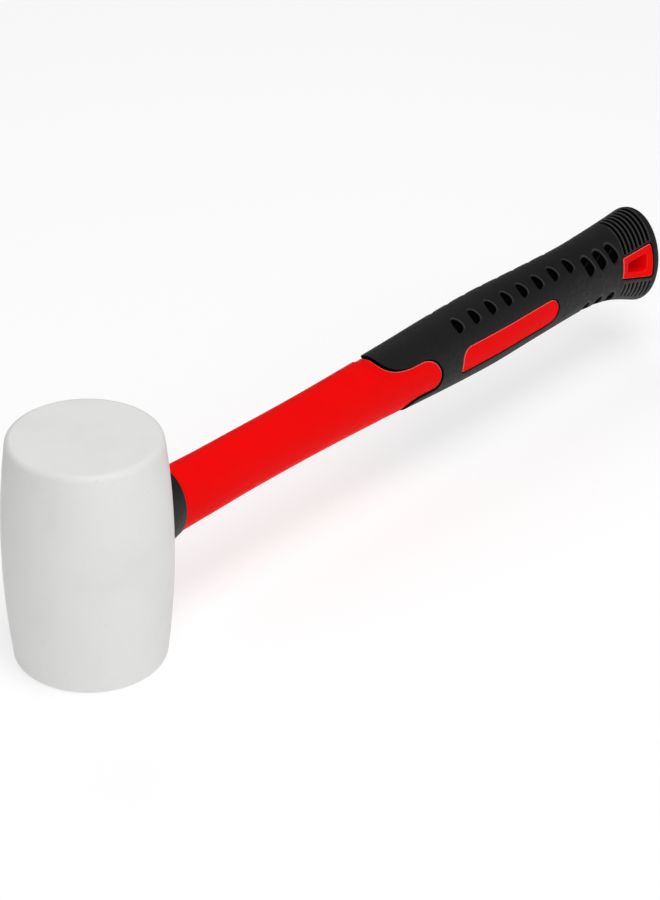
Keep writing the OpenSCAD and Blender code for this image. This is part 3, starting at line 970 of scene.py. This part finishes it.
def red_plastic():
    """The mark is 1 along moulded edges, which are painted paler as a highlight, and -1 in the
    gaps, which are painted near black as shade.
    """
    look = Look("red_plastic", (0.90, 0.0036, 0.0036), specular=0.015)
    look.tint(look.noise(18, 3), (0.4, 0.7), 0.4, (0.85, 0.003, 0.004))
    # painted highlight along the moulded edges
    look.tint(look.mark(), (0.3, 1.0), 0.85, (0.94, 0.22, 0.2))
    # painted shade in the gaps beside the grip
    look.tint(look.mark(), (-0.2, -0.9), 1, (0.004, 0.001, 0.001))
    look.rough(look.noise(3, 3), (0.3, 0.7), (0.42, 0.54))
    look.bump(look.noise(0.35, 3), 0.008)
    return look.mat


def grip_rubber():
    """The mark is 1 in pockets and grooves, which are dull and painted dark as shade, with a dimmer
    reflection, and -1 on lips, which are painted lighter as a highlight.
    """
    look = Look("grip_rubber", (0.0015, 0.0015, 0.0016), specular=0.31)
    painted_shade_band = (0.1, 0.8)
    look.tint(look.noise(12, 4), (0.4, 0.75), 0.6, (0.0025, 0.0025, 0.0027))
    # painted shade: pockets, grooves and the edges into the openings go near black
    look.tint(look.mark(), painted_shade_band, 1, (0.0001, 0.0001, 0.0001))
    # painted highlight: lips and ridges go lighter
    look.tint(look.mark(), (-0.1, -1.0), 1, (0.03, 0.03, 0.031))
    painted_pit_shade = look.remap(look.mark(), painted_shade_band)
    dull = look.node("ShaderNodeMath", operation="MAXIMUM")
    look.join(look.remap(look.noise(2, 3), (0.3, 0.7), (0.57, 0.69)), dull.inputs[0])
    look.join(painted_pit_shade, dull.inputs[1])
    look.join(dull.outputs[0], look.shader.inputs["Roughness"])
    # painted shade in the reflection: the specular tint drops to 0.15 in pockets and grooves
    sheen = look.mixed(painted_pit_shade, (1, 1, 1, 1), (0.15, 0.15, 0.15))
    look.join(sheen, look.shader.inputs["Specular Tint"])
    look.bump(look.noise(0.4, 3), 0.015)
    return look.mat


def collar_rubber():
    """Black rubber, a little lighter than the grip's."""
    look = Look("collar_rubber", (0.011, 0.012, 0.012), specular=0.15)
    look.tint(look.noise(6, 3), (0.4, 0.7), 0.6, (0.017, 0.018, 0.018))
    look.rough(look.noise(2, 3), (0.3, 0.7), (0.42, 0.54))
    look.bump(look.noise(0.4, 3), 0.01)
    return look.mat


def fibreglass():
    """Pale resin with strands along the rod."""
    look = Look("fibreglass", (0.62, 0.60, 0.40), roughness=0.35)
    strands = look.noise(0.5, 3, stretch=(0.02, 1, 1))
    look.tint(strands, (0.4, 0.65), 1, (0.78, 0.77, 0.60))
    look.bump(strands, 0.02)
    return look.mat


def adhesive():
    """Amber adhesive with paler spots, like small bubbles."""
    look = Look("adhesive", (0.52, 0.34, 0.12), roughness=0.3)
    look.tint(look.cells(1.6), (0.4, 0.15), 0.6, (0.62, 0.46, 0.22))
    look.bump(look.noise(2, 3), 0.04)
    return look.mat


# ---------------------------------------------------------------- camera, light and floor

VIEW_AZIMUTH, VIEW_HEIGHT, VIEW_ROLL = -48.899, 31.034, 1.0606        # degrees
CAMERA_RIGHT, CAMERA_UP, CAMERA_BACK = 86.56, 34.24, 1032.7   # from the middle of the head
LENS, SENSOR = 115.45, 36.0
LAMPS = (                                     # name, turn round the object, height, watts
    ("key", 250, 45, 3.6), ("side", 290, 30, 2.4), ("front", 215, 25, 3.5),
    ("high", 235, 60, 3.5), ("top", 250, 80, 9.9), ("back", 60, 45, 4.4))
LAMP_DISTANCE, LAMP_SIZE = 1.6, 0.9           # metres
LIT_POINT = Vector((0.12, 0, MID_Z * MM))     # what the lamps are turned to, in metres
WHITE = (1, 1, 1, 1)
WORLD_STRENGTH = 0.14
FLOOR_HALF, FLOOR_GREY, FLOOR_GLOW = 4.0, 0.45, 0.6           # the first in metres


def add_object(name, data):
    obj = bpy.data.objects.new(name, data)
    bpy.context.scene.collection.objects.link(obj)
    return obj


def camera():
    """The view that the object is drawn for: from in front of the head, to its left and above."""
    azimuth, height, roll = [math.radians(v) for v in (VIEW_AZIMUTH, VIEW_HEIGHT, VIEW_ROLL)]
    right = Vector((math.cos(azimuth), math.sin(azimuth), 0))
    back = Vector((math.sin(azimuth) * math.cos(height), -math.cos(azimuth) * math.cos(height),
                   math.sin(height)))
    up = back.cross(right)
    right, up = (right * math.cos(roll) + up * math.sin(roll),
                 up * math.cos(roll) - right * math.sin(roll))
    place = Vector((0, 0, MID_Z)) + right * CAMERA_RIGHT + up * CAMERA_UP + back * CAMERA_BACK
    cam = add_object("camera", bpy.data.cameras.new("camera"))
    turned = Matrix((right, up, back)).transposed().to_4x4()
    cam.matrix_world = Matrix.Translation(place * MM) @ turned
    cam.data.lens, cam.data.sensor_width, cam.data.sensor_fit = LENS, SENSOR, "AUTO"
    bpy.context.scene.camera = cam


def lamp(name, turn, height, watts):
    """A square soft light at a turn round the object and a height, in degrees."""
    data = bpy.data.lights.new(name, "AREA")
    data.shape, data.size, data.energy = "SQUARE", LAMP_SIZE, watts
    turn, height = math.radians(turn), math.radians(height)
    towards = Vector((math.cos(turn) * math.cos(height), math.sin(turn) * math.cos(height),
                      math.sin(height)))
    obj = add_object(name, data)
    obj.location = LIT_POINT + towards * LAMP_DISTANCE
    obj.rotation_euler = towards.to_track_quat("Z", "Y").to_euler()


def pale_floor():
    """A plain floor under the object, with a faint glow that keeps its shadows light."""
    mesh = bpy.data.meshes.new("floor")
    r = FLOOR_HALF
    mesh.from_pydata([(-r, -r, 0), (r, -r, 0), (r, r, 0), (-r, r, 0)], [], [(0, 1, 2, 3)])
    look = Look("pale_floor", [FLOOR_GREY] * 3, roughness=0.9, specular=0.1)
    look.set(look.shader, {"Emission Color": WHITE, "Emission Strength": FLOOR_GLOW})
    mesh.materials.append(look.mat)
    add_object("floor", mesh)


def studio():
    world = bpy.data.worlds.new("studio")
    bpy.context.scene.world = world
    world.use_nodes = True
    sky = world.node_tree.nodes["Background"]
    sky.inputs["Color"].default_value = WHITE
    sky.inputs["Strength"].default_value = WORLD_STRENGTH
    for row in LAMPS:
        lamp(*row)
    pale_floor()
    bpy.context.scene.view_settings.view_transform = "Standard"


# ---------------------------------------------------------------- the scene

camera()
studio()

for piece, node, slot, mat in (
        (head_piece(), "mallet_head", "white_rubber", white_rubber()),
        (jacket_piece(), "handle_jacket", "red_plastic", red_plastic()),
        (collar_piece(), "neck_collar", "collar_rubber", collar_rubber()),
        (grip_piece(), "grip_sleeve", "grip_rubber", grip_rubber())):
    piece.data.materials.clear()
    piece.data.materials.append(mat)
    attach(piece, "root")
    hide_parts(node)

for node, mat in (("core_rod", fibreglass()), ("epoxy_bond", adhesive())):
    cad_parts[node].data.materials.clear()
    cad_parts[node].data.materials.append(mat)
